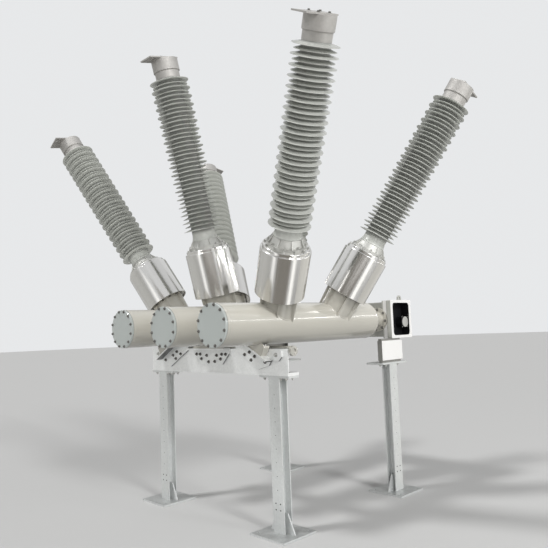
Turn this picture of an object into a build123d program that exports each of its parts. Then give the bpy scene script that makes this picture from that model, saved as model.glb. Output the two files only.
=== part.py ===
from build123d import *
import math
import os

# Three-pole gas insulated breaker with earthed tanks, in millimetres.
# X runs along the tanks: bolted end covers at -X, drive beam at +X.
# Y runs across the three poles: the front pole is at -Y.
# Z is up. The origin is on the floor, midway between the four legs.

# Support frame
leg_spacing_x = 1540
leg_spacing_y = 1530
base_plate_side = 365
base_plate_thickness = 16
anchor_hole_inset = 42
anchor_hole_radius = 11
leg_flange_width = 120
leg_depth = 90
leg_flange_thickness = 9
leg_web_thickness = 7
leg_top_height = 1206
leg_gusset_height = 150
leg_gusset_reach = 130
leg_gusset_thickness = 10
top_plate_thickness = 18
top_plate_length = 330

# Channel beam under the cover ends, open towards +X
beam_height = 211
beam_depth = 118
beam_half_length = 930
beam_web_thickness = 8
beam_flange_thickness = 11
beam_sole_thickness = 14
beam_sole_lip = 6
beam_pad_inner = 775
beam_pad_outer = 872
beam_pad_height = 88
beam_pad_top_margin = 10
beam_pad_thickness = 12
beam_pad_corner = 34

# Tanks
pole_pitch = 640
outer_pole_roll = 29.5
tank_radius = 171
tank_gap_over_beam = 32
tank_wall = 8
cover_face_x = -1329
cover_thickness = 22
end_ring_length = 28
end_ring_wall = 26
tank_straight_end_x = 550
head_depth = 90

# Tank necks that carry the bushings
neck_left_x = -653
neck_right_x = 33
bushing_tilt = 14.5
neck_radius = 138
neck_wall = 7
neck_flange_radius = 172
neck_flange_start = 300
neck_flange_thickness = 16
neck_gusset_count = 6
neck_gusset_first_angle = 50
neck_gusset_foot_reach = 16
neck_gusset_thickness = 12

# Drive necks between the tank heads and the drive beam
drive_neck_radius = 78
drive_neck_wall = 7
drive_flange_radius = 118
drive_flange_thickness = 16

# Tank feet and their saddles on the cross beam
foot_depth = 63
foot_gap = 4
foot_half_width = 178
foot_rib_thickness = 10
foot_shoulder_height = 92
foot_shoulder_radius = 24
foot_clearance = 26
saddle_plate_thickness = 12
saddle_plate_half_width = 250
saddle_depth = 77
bracket_height = 140
bracket_half_width = 245
bracket_corner = 92

# Current transformer housings, distances along the bushing axis
housing_overhang = 8
housing_length = 395
housing_radius = 204
housing_wall = 6
housing_recess = 60
housing_edge_radius = 6
housing_lid_radius = 190
housing_lid_height = 28

# Cast bushing bases
base_flange_radius = 161
base_flange_thickness = 25
base_cone_low_radius = 138
base_cone_top_radius = 116
base_cone_height = 55
base_rib_count = 8
base_rib_first_angle = 20
base_rib_thickness = 8
base_rib_radius = 156
base_rib_top_radius = 122

# Insulators: sheds of two sizes in turn on a straight barrel with a flared foot
barrel_radius = 103
barrel_foot_radius = 115
barrel_foot_height = 10
barrel_flare_height = 58
barrel_flare_depth = 3
shed_large_radius = 169
shed_small_radius = 151
shed_large_count = 19
shed_start_gap = 36.5
shed_pitch = 72.3
shed_rim_thickness = 4
shed_root_thickness = 15
shed_droop = 10
barrel_end_margin = 14

# Line terminals
collar_radius = 105
collar_length = 72
cap_radius = 114
cap_length = 105
cap_chamfer = 4
pad_thickness = 11
pad_width = 150
pad_outer_reach = 195
pad_inner_reach = 92
pad_hole_radius = 7
pad_hole_inset = 23
pad_hole_pitch = 50

# Drive beam with its end housings, their window frames and shaft covers
drive_beam_x = 952
drive_beam_width = 326
drive_beam_height = 341
drive_beam_end_margin = 9
end_frame_width = 352
end_frame_height = 373
end_frame_depth = 43
end_housing_depth = 110
end_corner_radius = 10
window_width = 284
window_height = 320
window_corner_radius = 34
window_pocket_depth = 93
shaft_offset_x = 86
shaft_offset_z = -30
shaft_cover_radius = 52
shaft_cover_length = 83
lug_offset_x = 132
lug_inset_y = 103
lug_height = 54
lug_width = 60
lug_thickness = 14
lug_hole_radius = 15

# Brackets between the drive-end legs and the drive beam
drive_bracket_width = 340
drive_bracket_depth = 50
drive_bracket_wall = 7
spacer_inset = 14
spacer_low_height = 21
spacer_top_height = 17
platform_reach_x = 400
platform_reach_y = 192

# Gas filling line on the cross beam
pipe_radius = 10
pipe_inset = 44
pipe_far_end = 710
riser_radius = 8
valve_radius = 40
valve_length = 24
valve_gap = 6
valve_drop = 28
valve_bore_radius = 22
valve_bore_depth = 9

# Clearance left between curved or crossing surfaces that seat on each other
seat_clearance = 0.3

# Heights and places that follow from the sizes above
beam_bottom = leg_top_height + top_plate_thickness
beam_top = beam_bottom + beam_height
beam_face_x = -leg_spacing_x / 2 - leg_depth / 2
tank_axis_height = beam_top + tank_gap_over_beam + tank_radius
foot_drop = tank_radius + foot_clearance
bracket_low = foot_drop + bracket_height
tank_open_x = cover_face_x + cover_thickness
housing_start = neck_flange_start - housing_overhang
base_start = housing_start + housing_length + housing_lid_height
insulator_start = base_start + base_flange_thickness + base_cone_height
shed_first = insulator_start + barrel_flare_height + shed_start_gap
shed_last = shed_first + (shed_large_count - 1) * shed_pitch
insulator_end = shed_last + barrel_end_margin
cap_start = insulator_end + collar_length
pad_start = cap_start + cap_length
drive_beam_face_x = drive_beam_x - drive_beam_width / 2
end_frame_back_y = pole_pitch + drive_flange_radius + drive_beam_end_margin
end_frame_face_y = end_frame_back_y + end_frame_depth
drive_beam_half_length = end_frame_face_y - end_housing_depth
end_frame_low_z = tank_axis_height - end_frame_height / 2

poles = {"front": (-pole_pitch, outer_pole_roll), "middle": (0, 0), "back": (pole_pitch, -outer_pole_roll)}
sides = {"left": (neck_left_x, -bushing_tilt), "right": (neck_right_x, bushing_tilt)}

os.makedirs("parts", exist_ok=True)


def save(name, shape):
    """Write one piece to its own file."""
    export_step(shape, f"parts/{name}.step")


def block(x0, x1, y0, y1, z0, z1):
    """A box between two corners."""
    centre = Pos((x0 + x1) / 2, (y0 + y1) / 2, (z0 + z1) / 2)
    return centre * Box(abs(x1 - x0), abs(y1 - y0), abs(z1 - z0))


def drum(radius, start, end):
    """A cylinder along Z from start to end."""
    return Pos(0, 0, (start + end) / 2) * Cylinder(radius, end - start)


def tube_x(radius, start, end):
    """A cylinder along X from start to end."""
    return Pos((start + end) / 2, 0, 0) * Rot(0, 90, 0) * Cylinder(radius, end - start)


def prism(points, plane, thickness):
    """A flat plate of the given outline, centred on its plane."""
    face = make_face(Polyline(*points, close=True))
    return extrude(plane * face, thickness / 2, both=True)


def pole_place(pole):
    """From a pole's own frame, tank axis along X, to the breaker's frame."""
    y, roll = poles[pole]
    return Pos(0, y, tank_axis_height) * Rot(roll, 0, 0)


def bushing_place(side):
    """From a bushing's own frame, axis along Z, to its pole's frame."""
    x, tilt = sides[side]
    return Pos(x, 0, 0) * Rot(0, tilt, 0)


def leg_section(turned):
    """Rolled H-section outline, with the flanges facing X, or Y when turned."""
    outline = Rectangle(leg_depth, leg_flange_width)
    slot_depth = (leg_flange_width - leg_web_thickness) / 2
    slot_width = leg_depth - 2 * leg_flange_thickness
    for sign in (-1, 1):
        centre_y = sign * (leg_web_thickness + slot_depth) / 2
        outline -= Pos(0, centre_y) * Rectangle(slot_width, slot_depth)
    return Rot(0, 0, 90 if turned else 0) * outline


def leg(turned):
    """A leg on its base plate, with web gussets and anchor holes."""
    plate = block(
        -base_plate_side / 2, base_plate_side / 2, -base_plate_side / 2, base_plate_side / 2, 0, base_plate_thickness
    )
    hole_offset = base_plate_side / 2 - anchor_hole_inset
    for x in (-hole_offset, hole_offset):
        for y in (-hole_offset, hole_offset):
            plate -= Pos(x, y, 0) * Cylinder(anchor_hole_radius, 4 * base_plate_thickness)
    column = extrude(Pos(0, 0, base_plate_thickness) * leg_section(turned), leg_top_height - base_plate_thickness)
    web_half = leg_web_thickness / 2
    top = base_plate_thickness + leg_gusset_height
    gussets = []
    for sign in (-1, 1):
        outline = [
            (sign * web_half, base_plate_thickness),
            (sign * leg_gusset_reach, base_plate_thickness),
            (sign * leg_flange_width / 2, top),
            (sign * web_half, top),
        ]
        gussets.append(Rot(0, 0, 90 if turned else 0) * prism(outline, Plane.YZ, leg_gusset_thickness))
    return plate + column + gussets


def cover_end_leg(sign):
    """Leg under the cross beam, with a long top plate along the beam."""
    centre_y = sign * leg_spacing_y / 2
    outer = sign * beam_half_length
    inner = outer - sign * top_plate_length
    head = block(beam_face_x, beam_face_x + beam_depth, inner, outer, leg_top_height, beam_bottom)
    return Pos(-leg_spacing_x / 2, centre_y, 0) * leg(False) + head


def drive_end_leg(sign):
    """Leg under the drive beam, with a platform for the bracket."""
    centre_x = leg_spacing_x / 2
    outer = sign * end_frame_face_y
    inner = outer - sign * platform_reach_y
    start_x = centre_x - drive_bracket_width / 2
    head = block(start_x, start_x + platform_reach_x, inner, outer, leg_top_height, beam_bottom)
    return Pos(centre_x, sign * leg_spacing_y / 2, 0) * leg(True) + head


def beam_pad(sign):
    """Welded pad with cut lower corners, near one end of the beam's web."""
    top = beam_top - beam_pad_top_margin
    low = top - beam_pad_height
    outline = [
        (sign * beam_pad_inner, top),
        (sign * beam_pad_outer, top),
        (sign * beam_pad_outer, low + beam_pad_corner),
        (sign * (beam_pad_outer - beam_pad_corner), low),
        (sign * (beam_pad_inner + beam_pad_corner / 2), low),
        (sign * beam_pad_inner, low + beam_pad_corner / 2),
    ]
    return Pos(beam_face_x - beam_pad_thickness / 2, 0, 0) * prism(outline, Plane.YZ, beam_pad_thickness)


def cross_beam():
    """Channel on a sole plate, with its web towards the covers."""
    back = beam_face_x + beam_depth
    body = block(beam_face_x, back, -beam_half_length, beam_half_length, beam_bottom, beam_top)
    hollow = block(
        beam_face_x + beam_web_thickness,
        back + beam_depth,
        -2 * beam_half_length,
        2 * beam_half_length,
        beam_bottom + beam_sole_thickness + beam_flange_thickness,
        beam_top - beam_flange_thickness,
    )
    sole_top = beam_bottom + beam_sole_thickness
    sole = block(beam_face_x - beam_sole_lip, back, -beam_half_length, beam_half_length, beam_bottom, sole_top)
    return body - hollow + sole + beam_pad(-1) + beam_pad(1)


def neck_gusset(angle):
    """Stiffener between a neck flange and the tank, turned about the neck."""
    outline = [
        (neck_radius - neck_wall / 2, 0),
        (neck_radius - neck_wall / 2, neck_flange_start + neck_flange_thickness / 2),
        (neck_flange_radius, neck_flange_start + neck_flange_thickness / 2),
        (neck_flange_radius, neck_flange_start),
        (neck_radius + neck_gusset_foot_reach, 0),
    ]
    return Rot(0, 0, angle) * prism(outline, Plane.XZ, neck_gusset_thickness)


def tank_foot():
    """Cradle welded under the cover end of a tank: sole, front web and two ribs."""
    end_x = beam_face_x - foot_gap
    start_x = end_x - foot_depth
    low = -foot_drop
    wall = foot_rib_thickness
    outline = Pos(0, low + foot_shoulder_height / 2) * Rectangle(2 * foot_half_width, foot_shoulder_height)
    outline = fillet(outline.vertices().group_by(Axis.Y)[-1], foot_shoulder_radius)
    cradle = Pos(start_x, 0, 0) * extrude(Plane.YZ * outline, foot_depth)
    inner = foot_half_width - wall
    return cradle - block(start_x + wall, end_x + wall, -inner, inner, low + wall, 0)


def tank():
    """Tank shell with two tilted necks, an end ring and a foot."""
    shell = tube_x(tank_radius, tank_open_x, tank_straight_end_x)
    hollow = tube_x(tank_radius - tank_wall, tank_open_x + end_ring_length, tank_straight_end_x + tank_wall)
    hollow += tube_x(tank_radius - end_ring_wall, tank_open_x - tank_wall, tank_open_x + 2 * end_ring_length)
    flange_end = neck_flange_start + neck_flange_thickness
    for side in sides:
        neck = drum(neck_radius, 0, flange_end)
        neck += drum(neck_flange_radius, neck_flange_start, flange_end)
        for index in range(neck_gusset_count):
            neck += neck_gusset(neck_gusset_first_angle + index * 360 / neck_gusset_count)
        shell += bushing_place(side) * neck
        hollow += bushing_place(side) * drum(neck_radius - neck_wall, 0, 2 * flange_end)
    return shell + tank_foot() - hollow


def end_cover():
    """Flat bolted cover with a shallow raised centre on its inner side."""
    disc = tube_x(tank_radius, cover_face_x, tank_open_x)
    edges = disc.edges().group_by(Axis.X)[0]
    disc = chamfer(edges, cover_thickness / 8)
    spigot_radius = tank_radius - end_ring_wall - seat_clearance
    return disc + tube_x(spigot_radius, tank_open_x, tank_open_x + end_ring_length / 2)


def dome_outline(radius, depth):
    """Quarter outline of a domed head, from its rim to its crown."""
    rim = (tank_straight_end_x, radius)
    crown = (tank_straight_end_x + depth, 0)
    arc = EllipticalCenterArc((tank_straight_end_x, 0), depth, radius, start_angle=0, arc_size=90)
    base = Polyline(crown, (tank_straight_end_x, 0), rim)
    return make_face([arc, base])


def tank_head():
    """Domed head with the drive neck and its flange."""
    dome = revolve(dome_outline(tank_radius, head_depth), Axis.X)
    dome += tube_x(drive_neck_radius, tank_straight_end_x + head_depth / 2, drive_beam_face_x)
    dome += tube_x(drive_flange_radius, drive_beam_face_x - drive_flange_thickness, drive_beam_face_x)
    hollow = revolve(dome_outline(tank_radius - tank_wall, head_depth - tank_wall), Axis.X)
    hollow += tube_x(drive_neck_radius - drive_neck_wall, tank_straight_end_x, drive_beam_face_x + drive_neck_wall)
    return dome - hollow


def saddle():
    """Seat plate for a tank foot with its bracket on the cross beam."""
    plate_top = -foot_drop
    plate_low = plate_top - saddle_plate_thickness
    front_x = beam_face_x - saddle_depth
    seat = block(front_x, beam_face_x, -saddle_plate_half_width, saddle_plate_half_width, plate_low, plate_top)
    outline = [
        (-bracket_half_width, plate_low),
        (-bracket_half_width, bracket_corner - bracket_low),
        (bracket_corner - bracket_half_width, -bracket_low),
        (bracket_half_width - bracket_corner, -bracket_low),
        (bracket_half_width, bracket_corner - bracket_low),
        (bracket_half_width, plate_low),
    ]
    bracket = Pos(beam_face_x - saddle_plate_thickness / 2, 0, 0) * prism(outline, Plane.YZ, saddle_plate_thickness)
    return seat + bracket


def housing():
    """Round current transformer housing with a stepped lid, open below round the neck flange."""
    end = housing_start + housing_length
    seat = neck_flange_start + neck_flange_thickness
    can = drum(housing_radius, housing_start, end)
    can = fillet(can.edges().group_by(Axis.Z)[-1], housing_edge_radius)
    lid = drum(housing_lid_radius, end, end + housing_lid_height)
    lid = fillet(lid.edges().group_by(Axis.Z)[-1], housing_edge_radius)
    inner_radius = housing_radius - housing_wall
    recess = drum(inner_radius, housing_start - housing_wall, seat)
    groove = drum(inner_radius, housing_start, housing_start + housing_recess)
    groove -= drum(neck_flange_radius, housing_start - housing_wall, housing_start + 2 * housing_recess)
    return can + lid - recess - groove


def bushing_base():
    """Cast ribbed cone between the housing and the insulator."""
    cone_start = base_start + base_flange_thickness
    body = drum(base_flange_radius, base_start, cone_start)
    body += Pos(0, 0, cone_start + base_cone_height / 2) * Cone(
        base_cone_low_radius, base_cone_top_radius, base_cone_height
    )
    outline = [
        (base_cone_top_radius / 2, cone_start),
        (base_rib_radius, cone_start),
        (base_rib_top_radius, insulator_start),
        (base_cone_top_radius / 2, insulator_start),
    ]
    rib = prism(outline, Plane.XZ, base_rib_thickness)
    for index in range(base_rib_count):
        body += Rot(0, 0, base_rib_first_angle + index * 360 / base_rib_count) * rib
    return body


def insulator():
    """Barrel on a flared foot, with large and small drooping sheds in turn."""
    lip = insulator_start + barrel_foot_height
    flare_end = insulator_start + barrel_flare_height
    foot = Polyline((0, insulator_start), (barrel_foot_radius, insulator_start), (barrel_foot_radius, lip))
    middle = ((barrel_foot_radius + barrel_radius) / 2 - barrel_flare_depth, (lip + flare_end) / 2)
    flare = ThreePointArc((barrel_foot_radius, lip), middle, (barrel_radius, flare_end))
    points = [(barrel_radius, flare_end)]
    for index in range(2 * shed_large_count - 1):
        radius = shed_small_radius if index % 2 else shed_large_radius
        rim = shed_first + index * shed_pitch / 2
        points.append((barrel_radius, rim + shed_droop - shed_root_thickness / 2))
        points.append((radius, rim - shed_rim_thickness / 2))
        points.append((radius, rim + shed_rim_thickness / 2))
        points.append((barrel_radius, rim + shed_droop + shed_root_thickness / 2))
    points.append((barrel_radius, insulator_end + shed_droop))
    points.append((0, insulator_end + shed_droop))
    points.append((0, insulator_start))
    return revolve(Plane.XZ * make_face([foot, flare, Polyline(*points)]), Axis.Z)


def terminal(outward):
    """Metal cap with a flat pad that overhangs outward."""
    start = insulator_end + shed_droop
    body = drum(collar_radius, start, cap_start)
    cap = drum(cap_radius, cap_start, pad_start)
    body += chamfer(cap.edges().group_by(Axis.Z)[0], cap_chamfer)
    inner = -outward * pad_inner_reach
    outer = outward * pad_outer_reach
    half = pad_width / 2
    body += block(inner, outer, -half, half, pad_start, pad_start + pad_thickness)
    for x in (pad_hole_inset, pad_hole_inset + pad_hole_pitch):
        for y in (-pad_hole_pitch / 2, pad_hole_pitch / 2):
            body -= Pos(outer - outward * x, y, pad_start) * Cylinder(pad_hole_radius, 4 * pad_thickness)
    return body


def rounded_plate(width, height, radius, y0, y1):
    """Rectangle with rounded corners in XZ, from y0 to y1."""
    low, high = min(y0, y1), max(y0, y1)
    outline = RectangleRounded(width, height, radius)
    solid = extrude(outline, (high - low) / 2, both=True)
    return Pos(drive_beam_x, (low + high) / 2, tank_axis_height) * Rot(90, 0, 0) * solid


def lifting_lug(sign):
    """Round-topped lug with a hole, on top of one end housing."""
    eye = lug_height - lug_width / 2
    outline = SlotOverall(2 * eye + lug_width, lug_width, 90)
    outline -= Pos(0, -lug_height) * Rectangle(2 * lug_width, 2 * lug_height)
    outline -= Pos(0, eye) * Circle(lug_hole_radius)
    y = sign * (end_frame_face_y - lug_inset_y)
    plate = Rot(90, 0, 0) * extrude(outline, lug_thickness / 2, both=True)
    return Pos(drive_beam_x + lug_offset_x, y, tank_axis_height + end_frame_height / 2) * plate


def drive_beam():
    """Linkage housing across the three tank heads."""
    half_height = drive_beam_height / 2
    body = block(
        drive_beam_face_x,
        drive_beam_face_x + drive_beam_width,
        -drive_beam_half_length,
        drive_beam_half_length,
        tank_axis_height - half_height,
        tank_axis_height + half_height,
    )
    return fillet(body.edges().filter_by(Axis.Y), end_corner_radius)


def end_housing(sign):
    """Housing on one end of the drive beam, with a wider window frame and a lifting lug."""
    back = sign * drive_beam_half_length
    lip = sign * end_frame_back_y
    face = sign * end_frame_face_y
    floor = face - sign * window_pocket_depth
    body = rounded_plate(drive_beam_width, end_frame_height, end_corner_radius, back, lip)
    body += rounded_plate(end_frame_width, end_frame_height, end_corner_radius, lip, face)
    body -= rounded_plate(window_width, window_height, window_corner_radius, floor, face + sign)
    return body + lifting_lug(sign)


def shaft_cover(sign):
    """Round cover over the shaft end, on the floor of the window pocket."""
    floor = sign * (end_frame_face_y - window_pocket_depth)
    top = floor + sign * shaft_cover_length
    centre = Pos(drive_beam_x + shaft_offset_x, (floor + top) / 2, tank_axis_height + shaft_offset_z)
    return centre * Rot(90, 0, 0) * Cylinder(shaft_cover_radius, shaft_cover_length)


def drive_bracket(sign):
    """Folded plate between two set-back spacers, which carries one end housing on its leg."""
    start_x = leg_spacing_x / 2 - drive_bracket_width / 2
    end_x = start_x + drive_bracket_width
    outer = sign * end_frame_face_y
    inner = outer - sign * drive_bracket_depth
    low = beam_bottom + spacer_low_height
    top = end_frame_low_z - spacer_top_height
    wall = drive_bracket_wall
    body = block(start_x, end_x, inner, outer, low, top)
    body -= block(start_x + wall, end_x - wall, inner - sign, outer - sign * wall, low + wall, top - wall)
    for z0, z1 in ((beam_bottom, low), (top, end_frame_low_z)):
        body += block(start_x + spacer_inset, end_x - spacer_inset, inner, outer - sign * spacer_inset, z0, z1)
    return body


def gas_line():
    """Filling pipe on the cross beam, with a riser to each tank and a valve past the beam's end."""
    x = beam_face_x + pipe_inset
    z = beam_top + pipe_radius
    start_y = -beam_half_length - valve_gap - valve_length / 2
    face_y = start_y - valve_length / 2
    body = Pos(x, (start_y + pipe_far_end) / 2, z) * Rot(90, 0, 0) * Cylinder(pipe_radius, pipe_far_end - start_y)
    body += Pos(x, start_y, z - valve_drop) * Rot(90, 0, 0) * Cylinder(valve_radius, valve_length)
    body -= Pos(x, face_y, z - valve_drop) * Rot(90, 0, 0) * Cylinder(valve_bore_radius, 2 * valve_bore_depth)
    underside = tank_axis_height - tank_radius - seat_clearance
    for y, _ in poles.values():
        body += Pos(x, y, (z + underside) / 2) * Cylinder(riser_radius, underside - z)
    return body


for name, sign in (("front", -1), ("back", 1)):
    save(f"leg_cover_end_{name}", cover_end_leg(sign))
    save(f"leg_drive_end_{name}", drive_end_leg(sign))

save("cross_beam", cross_beam())
save("gas_line", gas_line())
save("drive_beam", drive_beam())
save("end_housings", Compound([end_housing(-1), end_housing(1)]))
save("shaft_covers", Compound([shaft_cover(-1), shaft_cover(1)]))
save("drive_brackets", Compound([drive_bracket(-1), drive_bracket(1)]))

tank_shape = tank()
cover_shape = end_cover()
head_shape = tank_head()
saddle_shape = saddle()
housing_shape = housing()
base_shape = bushing_base()
insulator_shape = insulator()
for pole in poles:
    place = pole_place(pole)
    save(f"tank_{pole}", place * tank_shape)
    save(f"end_cover_{pole}", place * cover_shape)
    save(f"tank_head_{pole}", place * head_shape)
    save(f"saddle_{pole}", place * saddle_shape)
    for side in sides:
        axis = place * bushing_place(side)
        outward = math.copysign(1, sides[side][1])
        save(f"transformer_housing_{pole}_{side}", axis * housing_shape)
        save(f"bushing_base_{pole}_{side}", axis * base_shape)
        save(f"insulator_{pole}_{side}", axis * insulator_shape)
        save(f"terminal_{pole}_{side}", axis * terminal(outward))
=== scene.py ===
import math
import random

import bmesh
import bpy
from mathutils import Matrix, Vector


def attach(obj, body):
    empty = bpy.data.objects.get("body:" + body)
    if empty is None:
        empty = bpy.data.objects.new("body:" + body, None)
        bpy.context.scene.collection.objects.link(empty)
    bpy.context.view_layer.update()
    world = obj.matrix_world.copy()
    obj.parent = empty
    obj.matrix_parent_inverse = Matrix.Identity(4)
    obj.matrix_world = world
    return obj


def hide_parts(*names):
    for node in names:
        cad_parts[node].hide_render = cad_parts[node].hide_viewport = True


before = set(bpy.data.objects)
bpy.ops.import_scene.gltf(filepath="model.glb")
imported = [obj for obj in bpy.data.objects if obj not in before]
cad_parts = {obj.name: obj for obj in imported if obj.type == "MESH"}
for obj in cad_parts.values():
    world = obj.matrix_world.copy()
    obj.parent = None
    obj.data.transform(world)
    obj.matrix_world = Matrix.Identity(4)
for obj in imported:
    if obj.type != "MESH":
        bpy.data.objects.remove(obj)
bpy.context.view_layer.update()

scene = bpy.context.scene

# Three-pole gas insulated breaker, in metres. X runs along the tanks, Y across the poles, Z up.
TANK_AXIS_HEIGHT = 1.638
TANK_RADIUS = 0.171
COVER_FACE_X = -1.329
BEAM_FACE_X = -0.815
LEG_X = 0.77
LEG_Y = 0.765
NECK_RADIUS = 0.138
DRIVE_BEAM_X = 0.952
POCKET_FLOOR_Y = 0.717
FRAME_FACE_Y = 0.81
SADDLE_FACE_X = BEAM_FACE_X - 0.012
LEG_FLANGE_Y = LEG_Y + 0.045
TOP_PLATE_UNDERSIDE = 1.206
END_HOUSING_HALF_WIDTH = 0.163

# Along a bushing's own axis, from the tank axis.
NECK_FLANGE_UNDERSIDE = 0.30
HOUSING_LID_TOP = 0.715
BASE_PLATE_TOP = 0.74
SHED_FOOT_TOP = 0.853
TERMINAL_PLATE_TOP = 2.3929

# Width, height and corner radius.
WINDOW = (0.284, 0.32, 0.034)
WINDOW_FRAME = (0.352, 0.373, 0.010)

# Each pole's Y and roll, each side's X on the pole and tilt, in metres and degrees.
POLES = {"front": (-0.64, 29.5), "middle": (0.0, 0.0), "back": (0.64, -29.5)}
SIDES = {"left": (-0.653, -14.5), "right": (0.033, 14.5)}


def pole_place(pole):
    """From a pole's own frame, tank axis along X, to the breaker's frame."""
    y, roll = POLES[pole]
    return Matrix.Translation((0, y, TANK_AXIS_HEIGHT)) @ Matrix.Rotation(math.radians(roll), 4, "X")


def bushing_place(pole, side):
    """From a bushing's own frame, axis along Z, to the breaker's frame."""
    x, tilt = SIDES[side]
    return pole_place(pole) @ Matrix.Translation((x, 0, 0)) @ Matrix.Rotation(math.radians(tilt), 4, "Y")


# Materials

DUST = (0.60, 0.58, 0.54)


def new_material(name):
    """An empty Principled material with its tree and shader."""
    material = bpy.data.materials.new(name)
    material.use_nodes = True
    return material, material.node_tree, material.node_tree.nodes["Principled BSDF"]


def add_node(tree, kind, **values):
    """A shader node with some inputs set by name, or linked when given a socket."""
    made = tree.nodes.new(kind)
    for key, value in values.items():
        socket = made.inputs[key.replace("_", " ")]
        if isinstance(value, bpy.types.NodeSocket):
            tree.links.new(value, socket)
        else:
            socket.default_value = value
    return made


def own_place(tree):
    """The place in the object's own coordinates."""
    return add_node(tree, "ShaderNodeTexCoord").outputs["Object"]


def z_part(tree, vector):
    """A vector's Z."""
    return add_node(tree, "ShaderNodeSeparateXYZ", Vector=vector).outputs["Z"]


def noise(tree, scale, stretch=(1, 1, 1), detail=4.0, rough=0.55):
    """Noise over the object's own coordinates, from 0 to 1."""
    mapping = add_node(tree, "ShaderNodeMapping", Vector=own_place(tree), Scale=stretch)
    place = mapping.outputs["Vector"]
    made = add_node(tree, "ShaderNodeTexNoise", Vector=place, Scale=scale, Detail=detail, Roughness=rough)
    return made.outputs["Fac"]


def ranged(tree, value, low, high, start=0.3, end=0.7):
    """The value's range from start to end, spread from low to high."""
    made = add_node(tree, "ShaderNodeMapRange")
    tree.links.new(value, made.inputs["Value"])
    made.inputs["From Min"].default_value = start
    made.inputs["From Max"].default_value = end
    made.inputs["To Min"].default_value = low
    made.inputs["To Max"].default_value = high
    return made.outputs["Result"]


def product(tree, first, second):
    """Two values multiplied."""
    made = tree.nodes.new("ShaderNodeMath")
    made.operation = "MULTIPLY"
    for index, value in enumerate((first, second)):
        if isinstance(value, bpy.types.NodeSocket):
            tree.links.new(value, made.inputs[index])
        else:
            made.inputs[index].default_value = value
    return made.outputs["Value"]


def blend_colours(tree, factor, first, second):
    """A colour between first and second."""
    made = tree.nodes.new("ShaderNodeMix")
    made.data_type = "RGBA"
    tree.links.new(factor, made.inputs["Factor"])
    for socket, colour in ((made.inputs[6], first), (made.inputs[7], second)):
        if isinstance(colour, bpy.types.NodeSocket):
            tree.links.new(colour, socket)
        else:
            socket.default_value = (*colour, 1)
    return made.outputs[2]


def facing(tree, start, end):
    """0 to 1 as the normal's Z goes from start to end."""
    normal = add_node(tree, "ShaderNodeNewGeometry").outputs["Normal"]
    return ranged(tree, z_part(tree, normal), 0, 1, start, end)


def facing_up(tree):
    """1 on surfaces that face up, 0 on walls and undersides."""
    return facing(tree, 0.15, 0.95)


def bump(tree, shader, height, strength, distance):
    """Relief on the shader's normal."""
    made = add_node(tree, "ShaderNodeBump", Height=height, Strength=strength, Distance=distance)
    tree.links.new(made.outputs["Normal"], shader.inputs["Normal"])


def shaded(colour, factor):
    """The colour made lighter or darker."""
    return tuple(min(1, channel * factor) for channel in colour)


def painted(name, colour, roughness, coat=0.0, dust=0.12, orange_peel=0.03, painted_under_shade=0.0):
    """Factory paint: slight drift of tone, fine orange peel, a little dust on top, and painted shade darkening the
    undersides.
    """
    material, tree, shader = new_material(name)
    tone = ranged(tree, noise(tree, 1.6, detail=2), 0, 1)
    base = blend_colours(tree, tone, shaded(colour, 0.97), shaded(colour, 1.02))
    speck = ranged(tree, noise(tree, 34, detail=6, rough=0.7), 0, 1, 0.5, 0.72)
    base = blend_colours(tree, product(tree, speck, 0.06), base, shaded(colour, 0.72))
    grime = ranged(tree, noise(tree, 6, detail=6), 0, 1, 0.4, 0.8)
    dusty = product(tree, product(tree, facing_up(tree), grime), dust)
    base = blend_colours(tree, dusty, base, DUST)
    # Painted shade: surfaces facing down are darkened towards a quarter of the colour.
    base = blend_colours(tree, product(tree, facing(tree, 0.35, -1), painted_under_shade), base, shaded(colour, 0.25))
    tree.links.new(base, shader.inputs["Base Color"])
    tree.links.new(ranged(tree, grime, roughness, roughness + 0.08, 0, 1), shader.inputs["Roughness"])
    shader.inputs["Coat Weight"].default_value = coat
    shader.inputs["Coat Roughness"].default_value = 0.05
    bump(tree, shader, noise(tree, 240, detail=2), orange_peel, 0.002)
    return material


def galvanized(name, colour):
    """Hot-dip zinc: crystal spangle, runs of dull grey, a worn foot, painted shade on undersides and a faint sheen.
    """
    material, tree, shader = new_material(name)
    crystals = add_node(tree, "ShaderNodeTexVoronoi", Vector=own_place(tree), Scale=70.0)
    spangle = add_node(tree, "ShaderNodeSeparateColor", Color=crystals.outputs["Color"])
    base = blend_colours(tree, spangle.outputs["Red"], shaded(colour, 0.96), shaded(colour, 1.04))
    runs = ranged(tree, noise(tree, 9, (1, 1, 0.15), detail=6), 0, 1, 0.42, 0.7)
    base = blend_colours(tree, product(tree, runs, 0.5), base, shaded(colour, 0.84))
    low_down = ranged(tree, z_part(tree, own_place(tree)), 1, 0, 0.05, 0.4)
    tread = product(tree, low_down, ranged(tree, noise(tree, 12, detail=6), 0.35, 0.75))
    base = blend_colours(tree, product(tree, facing_up(tree), tread), base, shaded(colour, 0.45))
    # Painted shade: faces that look down are darkened almost to black, which also darkens plate edges.
    base = blend_colours(tree, facing(tree, -0.15, -0.40), base, shaded(colour, 0.16))
    tree.links.new(base, shader.inputs["Base Color"])
    shader.inputs["Metallic"].default_value = 0.5
    tree.links.new(ranged(tree, spangle.outputs["Green"], 0.30, 0.44, 0, 1), shader.inputs["Roughness"])
    bump(tree, shader, noise(tree, 120, detail=3), 0.06, 0.002)
    return material


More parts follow.
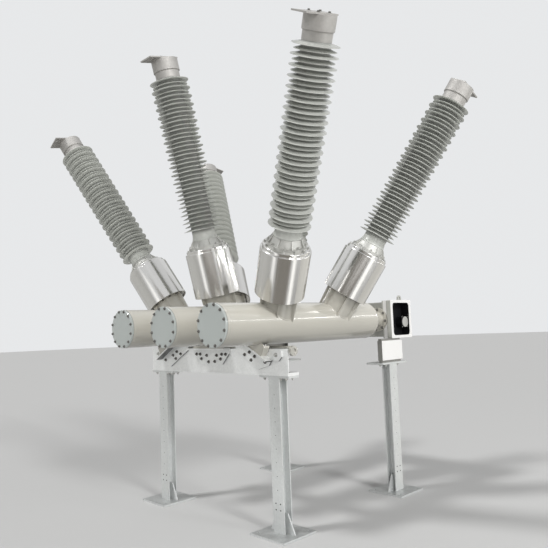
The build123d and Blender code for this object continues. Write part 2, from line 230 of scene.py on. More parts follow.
def brushed(name, colour, roughness, grain=60, roll_and_reflection_band_depth=0.18):
    """Bare metal brushed along its own Z, with broad soft bands that are partly rolling marks and partly painted
    reflection.
    """
    material, tree, shader = new_material(name)
    fine = noise(tree, grain, (1, 1, 0.02), detail=5, rough=0.7)
    # Broad bands fixed on the metal: partly rolling marks, partly painted reflection bands.
    roll_and_reflection_bands = noise(tree, 7, (1, 1, 0.03), detail=3)
    base = blend_colours(tree, ranged(tree, roll_and_reflection_bands, 0, 1), shaded(colour, 1 - roll_and_reflection_band_depth), shaded(colour, 1.05))
    scuffs = ranged(tree, noise(tree, 16, detail=8, rough=0.7), 0, 1, 0.58, 0.75)
    base = blend_colours(tree, product(tree, scuffs, 0.18), base, shaded(colour, 0.7))
    tree.links.new(base, shader.inputs["Base Color"])
    shader.inputs["Metallic"].default_value = 1.0
    tree.links.new(ranged(tree, fine, roughness - 0.07, roughness + 0.09), shader.inputs["Roughness"])
    bump(tree, shader, fine, 0.02, 0.0004)
    return material


def cast(name, colour, roughness):
    """Sand-cast aluminium: fine grain and uneven tone."""
    material, tree, shader = new_material(name)
    tone = ranged(tree, noise(tree, 14, detail=5), 0, 1)
    base = blend_colours(tree, tone, shaded(colour, 0.88), shaded(colour, 1.04))
    tree.links.new(base, shader.inputs["Base Color"])
    shader.inputs["Metallic"].default_value = 0.85
    tree.links.new(ranged(tree, noise(tree, 60, detail=4), roughness, roughness + 0.12), shader.inputs["Roughness"])
    bump(tree, shader, noise(tree, 420, detail=3), 0.22, 0.001)
    return material


def from_axis(tree, low, high, start, end):
    """The distance from the object's own Z axis, from start to end, spread from low to high."""
    flat = add_node(tree, "ShaderNodeMapping", Vector=own_place(tree), Scale=(1, 1, 0))
    length = add_node(tree, "ShaderNodeVectorMath", Vector=flat.outputs["Vector"])
    length.operation = "LENGTH"
    return ranged(tree, length.outputs["Value"], low, high, start, end)


def along_axis(tree, start, end):
    """0 to 1 as the normal's part along the object's own Z goes from start to end."""
    normal = add_node(tree, "ShaderNodeTexCoord").outputs["Normal"]
    return ranged(tree, z_part(tree, normal), 0, 1, start, end)


def rubber(name, colour):
    """Silicone rubber sheds: satin and dusty, with painted shade on top, painted light below, and painted shade on
    the barrel between the sheds.
    """
    material, tree, shader = new_material(name)
    tone = ranged(tree, noise(tree, 9, (1, 1, 0.6), detail=5), 0, 1)
    base = blend_colours(tree, tone, shaded(colour, 0.95), shaded(colour, 1.04))
    powder = ranged(tree, noise(tree, 14, detail=4), 0, 1, 0.42, 0.75)
    dusty = product(tree, product(tree, facing_up(tree), powder), 0.3)
    base = blend_colours(tree, dusty, base, shaded(colour, 1.18))
    over_foot = ranged(tree, z_part(tree, own_place(tree)), 0, 1, SHED_FOOT_TOP, SHED_FOOT_TOP + 0.027)
    # Painted shade on shed tops and painted light on shed undersides, set by the normal along the axis.
    base = blend_colours(tree, along_axis(tree, 0.80, 0.96), base, shaded(colour, 0.76))
    base = blend_colours(tree, along_axis(tree, -0.80, -0.96), base, shaded(colour, 1.25))
    # Painted shade: the barrel darkens between the sheds, where shade falls in the gaps.
    grime = product(tree, from_axis(tree, 0.55, 0, 0.104, 0.130), over_foot)
    base = blend_colours(tree, grime, base, shaded(colour, 0.25))
    tree.links.new(base, shader.inputs["Base Color"])
    tree.links.new(ranged(tree, powder, 0.26, 0.40, 0, 1), shader.inputs["Roughness"])
    shader.inputs["Specular IOR Level"].default_value = 0.5
    bump(tree, shader, noise(tree, 300, detail=2), 0.04, 0.001)
    return material


def plain(name, colour, roughness, metallic=0.0, gloss=0.5):
    """Small parts: a little drift of tone and roughness."""
    material, tree, shader = new_material(name)
    tone = ranged(tree, noise(tree, 30, detail=4), 0, 1)
    base = blend_colours(tree, tone, shaded(colour, 0.88), shaded(colour, 1.08))
    tree.links.new(base, shader.inputs["Base Color"])
    tree.links.new(ranged(tree, tone, roughness, roughness + 0.1, 0, 1), shader.inputs["Roughness"])
    shader.inputs["Metallic"].default_value = metallic
    shader.inputs["Specular IOR Level"].default_value = gloss
    return material


ZINC = galvanized("galvanized_steel", (0.66, 0.675, 0.67))
# A lighter copy of the zinc for the cross beam and saddles: partly brighter new galvanizing, partly painted light.
BRIGHT_ZINC_WITH_PAINTED_LIGHT = galvanized("galvanized_beam", (0.86, 0.87, 0.865))
# Dark copy of the zinc for the drive brackets: painted shade standing for their shaded sides.
BRACKET_STEEL_PAINTED_SHADE = galvanized("bracket_steel", (0.30, 0.295, 0.28))
# The tanks get painted shade on their undersides.
TANK_PAINT = painted("tank_paint", (0.50, 0.482, 0.425), 0.30, coat=1.0, painted_under_shade=0.45)
COVER_PAINT = painted("cover_paint", (0.395, 0.425, 0.41), 0.28, coat=0.8)
SHEET_STEEL = brushed("brushed_steel", (0.82, 0.81, 0.79), 0.19, roll_and_reflection_band_depth=0.25)
CAST_METAL = cast("cast_aluminium", (0.52, 0.52, 0.497), 0.50)
SILICONE = rubber("insulator_grey", (0.53, 0.54, 0.505))
BEAM_PAINT = painted("beam_paint", (0.30, 0.30, 0.275), 0.36, coat=0.1)
# Mid grey for the end housings, darker than their white front plates: painted shade for their sides.
HOUSING_PAINT_WITH_PAINTED_SHADE = painted("housing_paint", (0.42, 0.42, 0.39), 0.32, coat=0.2)
WHITE_PAINT = painted("white_paint", (0.79, 0.782, 0.765), 0.30, coat=0.2, dust=0.06)
TERMINAL_METAL = cast("terminal_aluminium", (0.45, 0.438, 0.42), 0.56)
TURNED_METAL = brushed("machined_aluminium", (0.62, 0.62, 0.61), 0.34, grain=90, roll_and_reflection_band_depth=0.08)
PIPE_STEEL = brushed("pipe_steel", (0.58, 0.57, 0.54), 0.34, grain=90, roll_and_reflection_band_depth=0.1)
DARK_BOLT = plain("dark_bolt", (0.16, 0.155, 0.145), 0.40, 0.5)
ZINC_BOLT = plain("zinc_bolt", (0.50, 0.50, 0.48), 0.36, 0.8)
BLACK_LINING = plain("black_lining", (0.006, 0.006, 0.007), 0.55, gloss=0.12)
SHADOW_HOLE = plain("hole_shadow", (0.03, 0.03, 0.03), 0.8)
GASKET = plain("gasket", (0.07, 0.07, 0.065), 0.6)

NODE_LOOKS = {
    "leg_": ZINC,
    "cross_beam": BRIGHT_ZINC_WITH_PAINTED_LIGHT,
    "gas_line": PIPE_STEEL,
    "drive_beam": BEAM_PAINT,
    "end_housings": HOUSING_PAINT_WITH_PAINTED_SHADE,
    "shaft_covers": TURNED_METAL,
    "drive_brackets": BRACKET_STEEL_PAINTED_SHADE,
    "tank_": TANK_PAINT,
    "end_cover_": COVER_PAINT,
    "saddle_": BRIGHT_ZINC_WITH_PAINTED_LIGHT,
    "transformer_housing_": SHEET_STEEL,
    "bushing_base_": CAST_METAL,
    "insulator_": SILICONE,
    "terminal_": TERMINAL_METAL,
}


def dress_nodes():
    """Every CAD node takes its material."""
    for name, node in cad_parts.items():
        look = next(material for prefix, material in NODE_LOOKS.items() if name.startswith(prefix))
        if not node.data.materials:
            node.data.materials.append(look)
        for place in node.material_slots:
            place.material = look


# Mesh pieces


def new_object(name, data):
    """An object in the scene."""
    made = bpy.data.objects.new(name, data)
    scene.collection.objects.link(made)
    return made


def make_mesh(name, mesh_data, material, sharp=None):
    """A mesh with one material, and smooth but for edges over an angle in degrees where one is given."""
    if sharp is not None:
        mesh_data.normal_update()
        for face in mesh_data.faces:
            face.smooth = True
        for edge in mesh_data.edges:
            edge.smooth = len(edge.link_faces) == 2 and edge.calc_face_angle(0) < math.radians(sharp)
    mesh = bpy.data.meshes.new(name)
    mesh_data.to_mesh(mesh)
    mesh_data.free()
    mesh.materials.append(material)
    return mesh


def place_piece(name, mesh, place=None, replaces=()):
    """A piece from a mesh that may be shared. It rides on the breaker."""
    piece = new_object(name, mesh)
    if place is not None:
        piece.matrix_world = place
    bpy.context.view_layer.update()
    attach(piece, "root")
    if replaces:
        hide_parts(*replaces)


def finish_piece(name, mesh_data, material, place=None, sharp=35):
    """A piece from mesh data."""
    place_piece(name, make_mesh(name, mesh_data, material, sharp), place)


def on_circle(count, first, radius):
    """Even points (x, y) on a circle, from a first angle in degrees."""
    for index in range(count):
        angle = math.radians(first + 360 / count * index)
        yield radius * math.cos(angle), radius * math.sin(angle)


def join_rings(mesh_data, first, second):
    """A band of faces between two closed rings of vertices."""
    for index in range(len(first)):
        after = (index + 1) % len(first)
        mesh_data.faces.new((first[index], first[after], second[after], second[index]))


ON_AXIS = 1e-6


def add_lathe(mesh_data, profile, segments, place=Matrix(), closed=False):
    """Turns a profile of (radius, height) points round Z. Points on the axis become one vertex."""
    rings = []
    for radius, height in profile:
        if radius < ON_AXIS:
            rings.append([mesh_data.verts.new(place @ Vector((0, 0, height)))])
            continue
        ring = []
        for index in range(segments):
            angle = 2 * math.pi * index / segments
            point = Vector((radius * math.cos(angle), radius * math.sin(angle), height))
            ring.append(mesh_data.verts.new(place @ point))
        rings.append(ring)
    pairs = list(zip(rings, rings[1:]))
    if closed:
        pairs.append((rings[-1], rings[0]))
    for lower, upper in pairs:
        for index in range(segments):
            after = (index + 1) % segments
            corners = []
            for vertex in (
                lower[index % len(lower)],
                lower[after % len(lower)],
                upper[after % len(upper)],
                upper[index % len(upper)],
            ):
                if vertex not in corners:
                    corners.append(vertex)
            if len(corners) > 2:
                mesh_data.faces.new(corners)


def arc(centre, radius, start, end, steps):
    """Points of a circular arc in a profile, in degrees."""
    points = []
    for index in range(steps + 1):
        angle = math.radians(start + (end - start) * index / steps)
        points.append((centre[0] + radius * math.cos(angle), centre[1] + radius * math.sin(angle)))
    return points


random_turn = random.Random(4)

# Width over flats, height, washer and stud of each kind of bolt or nut.
BASE_NUT = (0.017, 0.010, 0.002, 0.006)
LID_NUT = (0.015, 0.009, 0.002, 0.005)
NECK_HEAD = (0.017, 0.010, 0.002, 0)
LOW_HEAD = (0.016, 0.009, 0.002, 0)
COVER_BOLT = (0.0155, 0.009, 0.002, 0.003)
SADDLE_BOLT = (0.017, 0.010, 0.003, 0.005)
BEAM_BOLT = (0.021, 0.012, 0.003, 0.006)
PLATE_NUT = (0.02, 0.011, 0.003, 0.008)
CLAMP_HEAD = (0.008, 0.004, 0, 0)


def add_bolt(mesh_data, place, size):
    """Hex head or nut with a chamfered top on a washer, along the place's Z, left at any turn."""
    width, height, washer, stud = size
    top = washer + height
    if washer:
        rim = width * 0.86
        profile = [(0, 0), (rim, 0), (rim, washer * 0.7), (rim - 0.0005, washer), (0, washer)]
        add_lathe(mesh_data, profile, 18, place)
    corner = width / 2 / math.cos(math.pi / 6)
    spin = place @ Matrix.Rotation(random_turn.uniform(0, math.pi / 3), 4, "Z")
    profile = [(corner, washer), (corner, washer + height * 0.86), (corner * 0.88, top), (0, top)]
    add_lathe(mesh_data, profile, 6, spin)
    if stud:
        core = width * 0.27
        profile = [(core, top), (core, top + stud * 0.85), (core * 0.8, top + stud), (0, top + stud)]
        add_lathe(mesh_data, profile, 12, place)


def toward(point, direction):
    """A place at point whose Z runs along direction."""
    turn = Vector(direction).to_track_quat("Z", "Y").to_matrix().to_4x4()
    return Matrix.Translation(point) @ turn


def add_block(mesh_data, corner, far_corner, edge):
    """A block between two opposite corners, with bevelled edges."""
    low = Vector(map(min, corner, far_corner))
    high = Vector(map(max, corner, far_corner))
    made = bmesh.ops.create_cube(mesh_data, size=1.0)["verts"]
    size = high - low
    centre = (high + low) / 2
    for vertex in made:
        vertex.co = Vector(half * length for half, length in zip(vertex.co, size)) + centre
    edges = list({linked for vertex in made for linked in vertex.link_edges})
    bmesh.ops.bevel(mesh_data, geom=edges, offset=edge, segments=2, affect="EDGES")


def add_disc(mesh_data, place, radius):
    """A thin round disc that stands for a hole's dark mouth."""
    thickness = 0.0004
    add_lathe(mesh_data, [(radius, 0), (radius, thickness), (0, thickness)], 20, place)


# Bushings


def insulator_profile():
    """Barrel on a flared foot, with large and small drooping sheds in turn."""
    start, foot_top, end = 0.795, 0.805, 2.2149
    barrel, foot, small_shed, large_shed = 0.103, 0.115, 0.151, 0.169
    shed_count, first_rim, pitch = 37, 0.8895, 0.03615
    edge = 0.0015
    points = [(0, start), (foot - edge, start), (foot, start + edge), (foot, foot_top - 0.002)]
    points += [(foot - edge, foot_top), (0.1104, 0.8115), (0.1064, 0.8275), (0.1038, 0.842)]
    points += [(barrel, SHED_FOOT_TOP)]
    half_rim, rise_low, rise_high, fillet = 0.002, 0.0025, 0.0175, 0.005
    for index in range(shed_count):
        radius = small_shed if index % 2 else large_shed
        rim = first_rim + index * pitch
        run = (fillet + 0.001) / (radius - barrel)
        low_slope = (-half_rim - rise_low) * run + rise_low
        high_slope = (half_rim - rise_high) * run + rise_high
        points += [
            (barrel, rim + rise_low - fillet),
            (barrel + 0.0012, rim + rise_low - 0.0014),
            (barrel + fillet, rim + low_slope),
            (radius - 0.0022, rim - 0.0020),
            (radius - 0.0006, rim - 0.0013),
            (radius, rim),
            (radius - 0.0006, rim + 0.0013),
            (radius - 0.0022, rim + 0.0021),
            (barrel + fillet, rim + high_slope),
            (barrel + 0.0012, rim + rise_high + 0.0014),
            (barrel, rim + rise_high + fillet),
        ]
    points += [(barrel, end), (0, end)]
    return points


def housing_profile():
    """Sheet housing with a rolled top edge, a stepped lid and an open groove below."""
    outer, inner, lid, core = 0.204, 0.198, 0.190, 0.172
    bottom, core_bottom, groove_top, shell_top = 0.292, 0.316, 0.352, 0.687
    edge, gap, bend = 0.001, 0.0012, 0.006
    points = [(0, core_bottom), (core, core_bottom), (core, groove_top), (inner, groove_top)]
    points += [(inner, bottom + edge), (inner + edge, bottom), (outer - edge, bottom), (outer, bottom + edge)]
    points += arc((outer - bend, shell_top - bend), bend, 0, 90, 5)
    points += [(lid + gap, shell_top), (lid, shell_top + gap)]
    points += arc((lid - bend, HOUSING_LID_TOP - bend), bend, 0, 90, 5)
    points += [(0, HOUSING_LID_TOP)]
    return points


def base_bolts(mesh_data):
    """Nuts between the ribs of a cast base, and nuts round it on the lid."""
    for x, y in on_circle(8, 42.5, 0.1485):
        add_bolt(mesh_data, Matrix.Translation((x, y, BASE_PLATE_TOP)), BASE_NUT)
    for x, y in on_circle(12, 12, 0.1735):
        add_bolt(mesh_data, Matrix.Translation((x, y, HOUSING_LID_TOP)), LID_NUT)


def neck_bolts(mesh_data):
    """Dark heads under a neck flange, clear of the gussets."""
    for x, y in on_circle(12, 65, 0.157):
        add_bolt(mesh_data, toward((x, y, NECK_FLANGE_UNDERSIDE), (0, 0, -1)), NECK_HEAD)


def terminal_bolts(mesh_data, outward):
    """Low dark heads that hold a line pad on its cap."""
    for x in (outward * 0.066, -outward * 0.037):
        for y in (-0.046, 0.046):
            add_bolt(mesh_data, Matrix.Translation((x, y, TERMINAL_PLATE_TOP)), LOW_HEAD)


def make_bushings():
    """Detailed insulators, housings and their fasteners on every bushing."""
    meshes = {}
    data = bmesh.new()
    add_lathe(data, insulator_profile(), 72)
    meshes["insulator"] = (data, SILICONE, 60)
    data = bmesh.new()
    add_lathe(data, housing_profile(), 128)
    meshes["housing"] = (data, SHEET_STEEL, 40)
    data = bmesh.new()
    base_bolts(data)
    meshes["base_bolts"] = (data, ZINC_BOLT, 30)
    data = bmesh.new()
    neck_bolts(data)
    meshes["neck_bolts"] = (data, DARK_BOLT, 30)
    for side, outward in (("left", -1), ("right", 1)):
        data = bmesh.new()
        terminal_bolts(data, outward)
        meshes[f"terminal_bolts_{side}"] = (data, DARK_BOLT, 30)
    shared = {}
    for name, (data, material, sharp) in meshes.items():
        data.normal_update()
        bmesh.ops.recalc_face_normals(data, faces=data.faces)
        shared[name] = make_mesh(name, data, material, sharp)
    for pole in POLES:
        for side in SIDES:
            place = bushing_place(pole, side)
            key = f"{pole}_{side}"
            insulator, housing = f"insulator_{key}", f"transformer_housing_{key}"
            place_piece(f"sheds_{key}", shared["insulator"], place, (insulator,))
            place_piece(f"sheet_housing_{key}", shared["housing"], place, (housing,))
            place_piece(f"base_bolts_{key}", shared["base_bolts"], place)
            place_piece(f"neck_bolts_{key}", shared["neck_bolts"], place)
            terminal = shared[f"terminal_bolts_{side}"]
            place_piece(f"terminal_bolts_{key}", terminal, place)


# Tanks


def add_neck_weld(mesh_data, side):
    """Weld bead where a neck meets its tank, in the pole's frame."""
    x, tilt = SIDES[side]
    lean = math.radians(tilt)
    steps, around, bead = 120, 6, 0.005
    turn = Matrix.Translation((x, 0, 0)) @ Matrix.Rotation(lean, 4, "Y")
    line = []
    for index in range(steps):
        angle = 2 * math.pi * index / steps
        across = NECK_RADIUS * math.sin(angle)
        along = NECK_RADIUS * math.cos(angle)
        height = math.sqrt(TANK_RADIUS**2 - across**2)
        line.append(turn @ Vector((along, across, (height + math.sin(lean) * along) / math.cos(lean))))
    rings = []
    for index, point in enumerate(line):
        ahead = (line[(index + 1) % steps] - line[index - 1]).normalized()
        out = Vector((0, point.y, point.z)).normalized()
        side_way = ahead.cross(out).normalized()
        size = bead * (1 + 0.12 * math.sin(index * 2.1))
        ring = []
        for step in range(around):
            angle = 2 * math.pi * step / around
            offset = out * (size * math.cos(angle)) + side_way * (size * math.sin(angle))
            ring.append(mesh_data.verts.new(point + offset))
        rings.append(ring)
    for index in range(steps):
        join_rings(mesh_data, rings[index], rings[(index + 1) % steps])


def make_tank_details(pole):
    """Cover bolts, gasket line, weld beads and drive flange bolts of one pole."""
    place = pole_place(pole)
    along_x = Matrix.Rotation(math.pi / 2, 4, "Y")
    seam, ring_weld, head_weld, flange_back = COVER_FACE_X + 0.022, COVER_FACE_X + 0.050, 0.55, 0.773
    data = bmesh.new()
    for z, y in on_circle(12, 15, 0.159):
        add_bolt(data, toward((COVER_FACE_X, y, z), (-1, 0, 0)), COVER_BOLT)
    finish_piece(f"cover_bolts_{pole}", data, DARK_BOLT, place, 30)

    data = bmesh.new()
    outer = TANK_RADIUS + 0.0006
    inner = outer - 0.003
    foot, top = 0.0012, 0.0009
    profile = [(inner, seam - foot), (outer, seam - top), (outer, seam + top), (inner, seam + foot)]
    add_lathe(data, profile, 96, along_x, closed=True)
    finish_piece(f"cover_gasket_{pole}", data, GASKET, place)

    data = bmesh.new()
    for side in SIDES:
        add_neck_weld(data, side)
    for x in (ring_weld, head_weld):
        profile = [
            (TANK_RADIUS - 0.002, x - 0.006),
            (TANK_RADIUS + 0.0012, x - 0.003),
            (TANK_RADIUS + 0.0018, x),
            (TANK_RADIUS + 0.0012, x + 0.003),
            (TANK_RADIUS - 0.002, x + 0.006),
        ]
        add_lathe(data, profile, 96, along_x, closed=True)
    finish_piece(f"welds_{pole}", data, TANK_PAINT, place, 60)

    data = bmesh.new()
    for z, y in on_circle(8, 22.5, 0.1):
        add_bolt(data, toward((flange_back, y, z), (-1, 0, 0)), LOW_HEAD)
    finish_piece(f"drive_flange_bolts_{pole}", data, DARK_BOLT, place, 30)


# (across, height) of each bolt from the tank axis.
SADDLE_BOLTS = {
    "outer": (
        (0.004, -0.265), (-0.066, -0.265), (0.046, -0.313), (-0.043, -0.313),
        (-0.194, -0.2445), (0.194, -0.2445),
    ),
    "middle": (
        (0.057, -0.26), (-0.08, -0.259), (-0.15, -0.249), (-0.202, -0.249), (0.15, -0.249), (0.202, -0.249),
        (0.032, -0.316), (-0.053, -0.312), (-0.133, -0.29), (0.133, -0.29),
    ),
}


def make_saddle_bolts(pole):
    """Bolts through a saddle bracket into the cross beam, in the pole's frame."""
    mirror = -1 if pole == "back" else 1
    data = bmesh.new()
    for across, height in SADDLE_BOLTS["middle" if pole == "middle" else "outer"]:
        add_bolt(data, toward((SADDLE_FACE_X, mirror * across, height), (-1, 0, 0)), SADDLE_BOLT)
    finish_piece(f"saddle_bolts_{pole}", data, DARK_BOLT, pole_place(pole), 30)


# Frame


def make_frame_bolts():
    """Bolts of the cross beam's pads and of the plates on the legs."""
    pad_y, pad_z = 0.812, 1.388
    plate_nuts = [(x, y) for x in (-0.795, -0.722) for y in (0.645, 0.705, 0.825, 0.885)]
    plate_nuts += [(0.66, 0.737), (0.685, 0.785), (0.88, 0.785)]
    data = bmesh.new()
    for sign in (-1, 1):
        add_bolt(data, toward((SADDLE_FACE_X, sign * pad_y, pad_z), (-1, 0, 0)), BEAM_BOLT)
        for x, y in plate_nuts:
            add_bolt(data, toward((x, sign * y, TOP_PLATE_UNDERSIDE), (0, 0, -1)), PLATE_NUT)
    finish_piece("frame_bolts", data, ZINC_BOLT, None, 30)


def make_leg_holes():
    """Dark mouths of the small holes in the outer flanges of the legs."""
    large, small = 0.006, 0.0035
    holes = [(across, z, large) for z in (0.19, 0.238) for across in (-0.025, 0.025)]
    holes += [(0, 0.34 + 0.105 * step, small) for step in range(8)]
    data = bmesh.new()
    for sign in (-1, 1):
        for across, z, radius in holes:
            add_disc(data, toward((BEAM_FACE_X, sign * LEG_Y + across, z), (-1, 0, 0)), radius)
            add_disc(data, toward((LEG_X + across, sign * LEG_FLANGE_Y, z), (0, sign, 0)), radius)
    finish_piece("leg_holes", data, SHADOW_HOLE)


# Mechanism end


def rounded_outline(size, inset=0.0):
    """Points of a rounded rectangle (width, height, corner radius), anticlockwise from its right."""
    width, height, radius = size[0] - 2 * inset, size[1] - 2 * inset, size[2] - inset
    points = []
    for index, (sx, sz) in enumerate(((1, 1), (-1, 1), (-1, -1), (1, -1))):
        centre = (sx * (width / 2 - radius), sz * (height / 2 - radius))
        points += arc(centre, radius, 90 * index, 90 * index + 90, 8)
    return points


def make_window_lining_and_shade(name, sign):
    """Black lining on the floor and walls of a window pocket: partly a black panel, partly painted shade in the
    pocket.
    """
    data = bmesh.new()
    floor = sign * (POCKET_FLOOR_Y + 0.0008)
    rim = sign * (FRAME_FACE_Y - 0.003)
    rings = []
    for inset, y in ((0.0008, rim), (0.0008, floor), (0.006, floor)):
        outline = rounded_outline(WINDOW, inset)
        rings.append([data.verts.new((DRIVE_BEAM_X + x, y, TANK_AXIS_HEIGHT + z)) for x, z in outline])
    for first, second in zip(rings, rings[1:]):
        join_rings(data, first, second)
    data.faces.new(rings[-1])
    finish_piece(f"window_lining_{name}", data, BLACK_LINING, None, 40)


def make_white_plates(name, sign):
    """White frame round a window and the white plate of the bracket below it."""
    data = bmesh.new()
    outer = rounded_outline(WINDOW_FRAME)
    inner = rounded_outline(WINDOW)
    edge, shoulder, thickness = 0.0008, 0.001, 0.0018
    rings = []
    for outline, inset, depth in (
        (outer, 0, 0),
        (outer, 0, shoulder),
        (outer, edge, thickness),
        (inner, -edge, thickness),
        (inner, 0, shoulder),
        (inner, 0, 0),
    ):
        ring = []
        for x, z in outline:
            shrink = 1 - inset / math.hypot(x, z)
            y = sign * (FRAME_FACE_Y + depth)
            ring.append(data.verts.new((DRIVE_BEAM_X + x * shrink, y, TANK_AXIS_HEIGHT + z * shrink)))
        rings.append(ring)
    rings.append(rings[0])
    for first, second in zip(rings, rings[1:]):
        join_rings(data, first, second)
    bmesh.ops.recalc_face_normals(data, faces=data.faces)
    back, front = sign * FRAME_FACE_Y, sign * (FRAME_FACE_Y + thickness)
    add_block(data, (0.6015, back, 1.2465), (0.9385, front, 1.433), 0.0006)
    finish_piece(f"white_plates_{name}", data, WHITE_PAINT, None, 30)


def make_mechanism_details():
    """Clamps and fasteners round the shaft covers, and light strips on the housings that are partly joint strips
    and partly a painted reflection.
    """
    bright = bmesh.new()
    black = bmesh.new()
    gleam_strips = bmesh.new()
    centre_x, centre_z = DRIVE_BEAM_X + 0.086, TANK_AXIS_HEIGHT - 0.03
    clamp_y, clamp_depth, half_width, half_height = 0.791, 0.008, 0.0085, 0.058
    sleeve_inner, sleeve_outer = 0.0522, 0.0542
    gleam_strip_thickness = 0.0012
    for sign in (-1, 1):
        axis = toward((centre_x, sign * (POCKET_FLOOR_Y + 0.001), centre_z), (0, sign, 0))
        length = clamp_y - POCKET_FLOOR_Y - 0.003
        sleeve = [(sleeve_inner, 0), (sleeve_outer, 0), (sleeve_outer, length), (sleeve_inner, length)]
        add_lathe(black, sleeve, 48, axis, closed=True)
        for x in (centre_x - 0.046, centre_x + 0.046):
            corner = (x - half_width, sign * (clamp_y - clamp_depth), centre_z - half_height)
            add_block(black, corner, (x + half_width, sign * clamp_y, centre_z + half_height), 0.001)
            for z in (-0.05, 0.05):
                add_bolt(bright, toward((x, sign * clamp_y, centre_z + z), (0, sign, 0)), CLAMP_HEAD)
        # White strips on the housings' sides: partly joint strips, partly a painted reflection of a lamp.
        for side in (-1, 1):
            wall = DRIVE_BEAM_X + side * END_HOUSING_HALF_WIDTH
            corner = (wall, sign * 0.715, 1.4535)
            add_block(gleam_strips, corner, (wall + side * gleam_strip_thickness, sign * 0.752, 1.8225), 0.0004)
    finish_piece("shaft_clamps", black, BLACK_LINING, None, 30)
    finish_piece("shaft_clamp_bolts", bright, ZINC_BOLT, None, 30)
    finish_piece("housing_joint_strips_with_painted_gleam", gleam_strips, WHITE_PAINT, None, 30)


# Studio


def make_floor():
    """Plain pale floor under the breaker."""
    material, _, shader = new_material("floor")
    shader.inputs["Base Color"].default_value = (0.57, 0.57, 0.565, 1)
    shader.inputs["Roughness"].default_value = 0.9
    shader.inputs["Specular IOR Level"].default_value = 0.0
    data = bmesh.new()
    bmesh.ops.create_circle(data, cap_ends=True, segments=96, radius=60)
    floor = new_object("floor", make_mesh("floor", data, material))
    floor.location = (0, 0, -0.0005)


def make_world():
    """Pale background for the camera and for reflections, softer light on the object."""
    world = bpy.data.worlds.new("studio")
    scene.world = world
    world.use_nodes = True
    tree = world.node_tree
    tree.nodes.clear()
    path = tree.nodes.new("ShaderNodeLightPath")
    seen = path.outputs["Is Camera Ray"]
    for kind in ("Is Glossy Ray", "Is Transmission Ray"):
        made = tree.nodes.new("ShaderNodeMath")
        made.operation = "MAXIMUM"
        tree.links.new(seen, made.inputs[0])
        tree.links.new(path.outputs[kind], made.inputs[1])
        seen = made.outputs["Value"]
    light = add_node(tree, "ShaderNodeBackground", Color=(1, 1, 1, 1), Strength=0.38)
    pale = add_node(tree, "ShaderNodeBackground", Color=(0.80, 0.81, 0.82, 1), Strength=1.0)
    both = tree.nodes.new("ShaderNodeMixShader")
    tree.links.new(seen, both.inputs[0])
    tree.links.new(light.outputs[0], both.inputs[1])
    tree.links.new(pale.outputs[0], both.inputs[2])
    out = tree.nodes.new("ShaderNodeOutputWorld")
    tree.links.new(both.outputs[0], out.inputs["Surface"])


def make_lamps():
    """Two soft keys from above, a low fill that shows in no gloss, and a tall strip for bright metal."""
    for name, toward_lamp, energy, spread, gloss in (
        ("key_right", (-0.16, -0.86, 0.49), 1.35, 12, 1),
        ("key_left", (-0.50, 0.26, 0.82), 1.35, 8, 1),
        ("fill", (-0.64, -0.76, 0.10), 0.95, 25, 0),
    ):
        key = bpy.data.lights.new(name, "SUN")
        key.energy = energy
        key.specular_factor = gloss
        key.angle = math.radians(spread)
        lamp = new_object(name, key)
        lamp.rotation_euler = Vector(toward_lamp).to_track_quat("Z", "Y").to_euler()
    strip = bpy.data.lights.new("strip", "AREA")
    strip.shape = "RECTANGLE"
    strip.size = 1.0
    strip.size_y = 5.0
    strip.energy = 75
    strip.diffuse_factor = 0.45
    lamp = new_object("strip", strip)
    lamp.location = (0.6, -7.0, 3.2)
    aim = Vector((0, 0, 2.0))
    lamp.rotation_euler = (lamp.location - aim).to_track_quat("Z", "Y").to_euler()


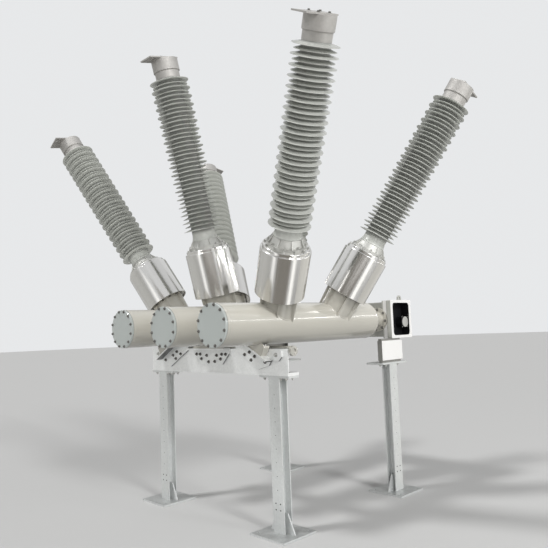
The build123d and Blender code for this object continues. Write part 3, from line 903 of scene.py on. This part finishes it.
def make_reflection_cards():
    """Cards on and round the floor that show only in gloss, so that bright metal has form."""
    tall, middling, low = (((1.4, 0), (11, 0), (11, height)) for height in (7, 5, 3))
    thin = ((10.5, 4.24), (10.5, 4.37))
    steps = 24
    # Each has its start and end angles, its shade, and its (reach, height) points outwards.
    for name, start, end, shade, outline in (
        ("card_dark", 196, 246, (0.27, 0.255, 0.23), tall),
        ("card_left", 95, 168, (0.58, 0.58, 0.56), tall),
        ("card_right", 292, 360, (0.75, 0.74, 0.70), low),
        ("card_back", 12, 80, (0.40, 0.40, 0.39), tall),
        ("card_gleam_left", 174, 187, (1.5, 1.5, 1.48), middling),
        ("card_gleam_right", 254, 268, (1.6, 1.6, 1.56), middling),
        ("card_line", 288, 350, (26.0, 26.0, 25.4), thin),
    ):
        data = bmesh.new()
        rows = []
        for index in range(steps + 1):
            angle = math.radians(start + (end - start) * index / steps)
            turn = Matrix.Rotation(angle, 4, "Z")
            rows.append([data.verts.new(turn @ Vector((reach, 0, height))) for reach, height in outline])
        for first, second in zip(rows, rows[1:]):
            for step in range(len(outline) - 1):
                data.faces.new((first[step], second[step], second[step + 1], first[step + 1]))
        material, _, shader = new_material(name)
        shader.inputs["Base Color"].default_value = (0, 0, 0, 1)
        shader.inputs["Roughness"].default_value = 1.0
        shader.inputs["Specular IOR Level"].default_value = 0.0
        shader.inputs["Emission Color"].default_value = (*shade, 1)
        shader.inputs["Emission Strength"].default_value = 1.0
        card = new_object(name, make_mesh(name, data, material))
        card.location = (0, 0, 0.003)
        card.visible_camera = False
        card.visible_diffuse = False
        card.visible_shadow = False
        card.visible_transmission = False
        card.visible_volume_scatter = False


def make_camera():
    """The photograph's viewpoint, with its angles in radians."""
    yaw, pitch, roll = 0.788116, 0.084924, -0.0380294
    ahead = Vector((math.cos(yaw) * math.cos(pitch), math.sin(yaw) * math.cos(pitch), math.sin(pitch)))
    level = Vector((math.sin(yaw), -math.cos(yaw), 0))
    above = level.cross(ahead)
    right = math.cos(roll) * level + math.sin(roll) * above
    up = -math.sin(roll) * level + math.cos(roll) * above
    data = bpy.data.cameras.new("camera")
    data.lens = 39.735
    data.sensor_width = 36
    camera = new_object("camera", data)
    turn = Matrix((right, up, -ahead)).transposed().to_4x4()
    camera.matrix_world = Matrix.Translation((-4.1984, -4.2163, 1.6188)) @ turn
    scene.camera = camera


dress_nodes()
make_bushings()
for pole in POLES:
    make_tank_details(pole)
    make_saddle_bolts(pole)
make_frame_bolts()
make_leg_holes()
make_window_lining_and_shade("front", -1)
make_window_lining_and_shade("back", 1)
make_white_plates("front", -1)
make_white_plates("back", 1)
make_mechanism_details()
make_floor()
make_world()
make_lamps()
make_reflection_cards()
make_camera()
scene.view_settings.view_transform = "Standard"

bpy.context.view_layer.update()
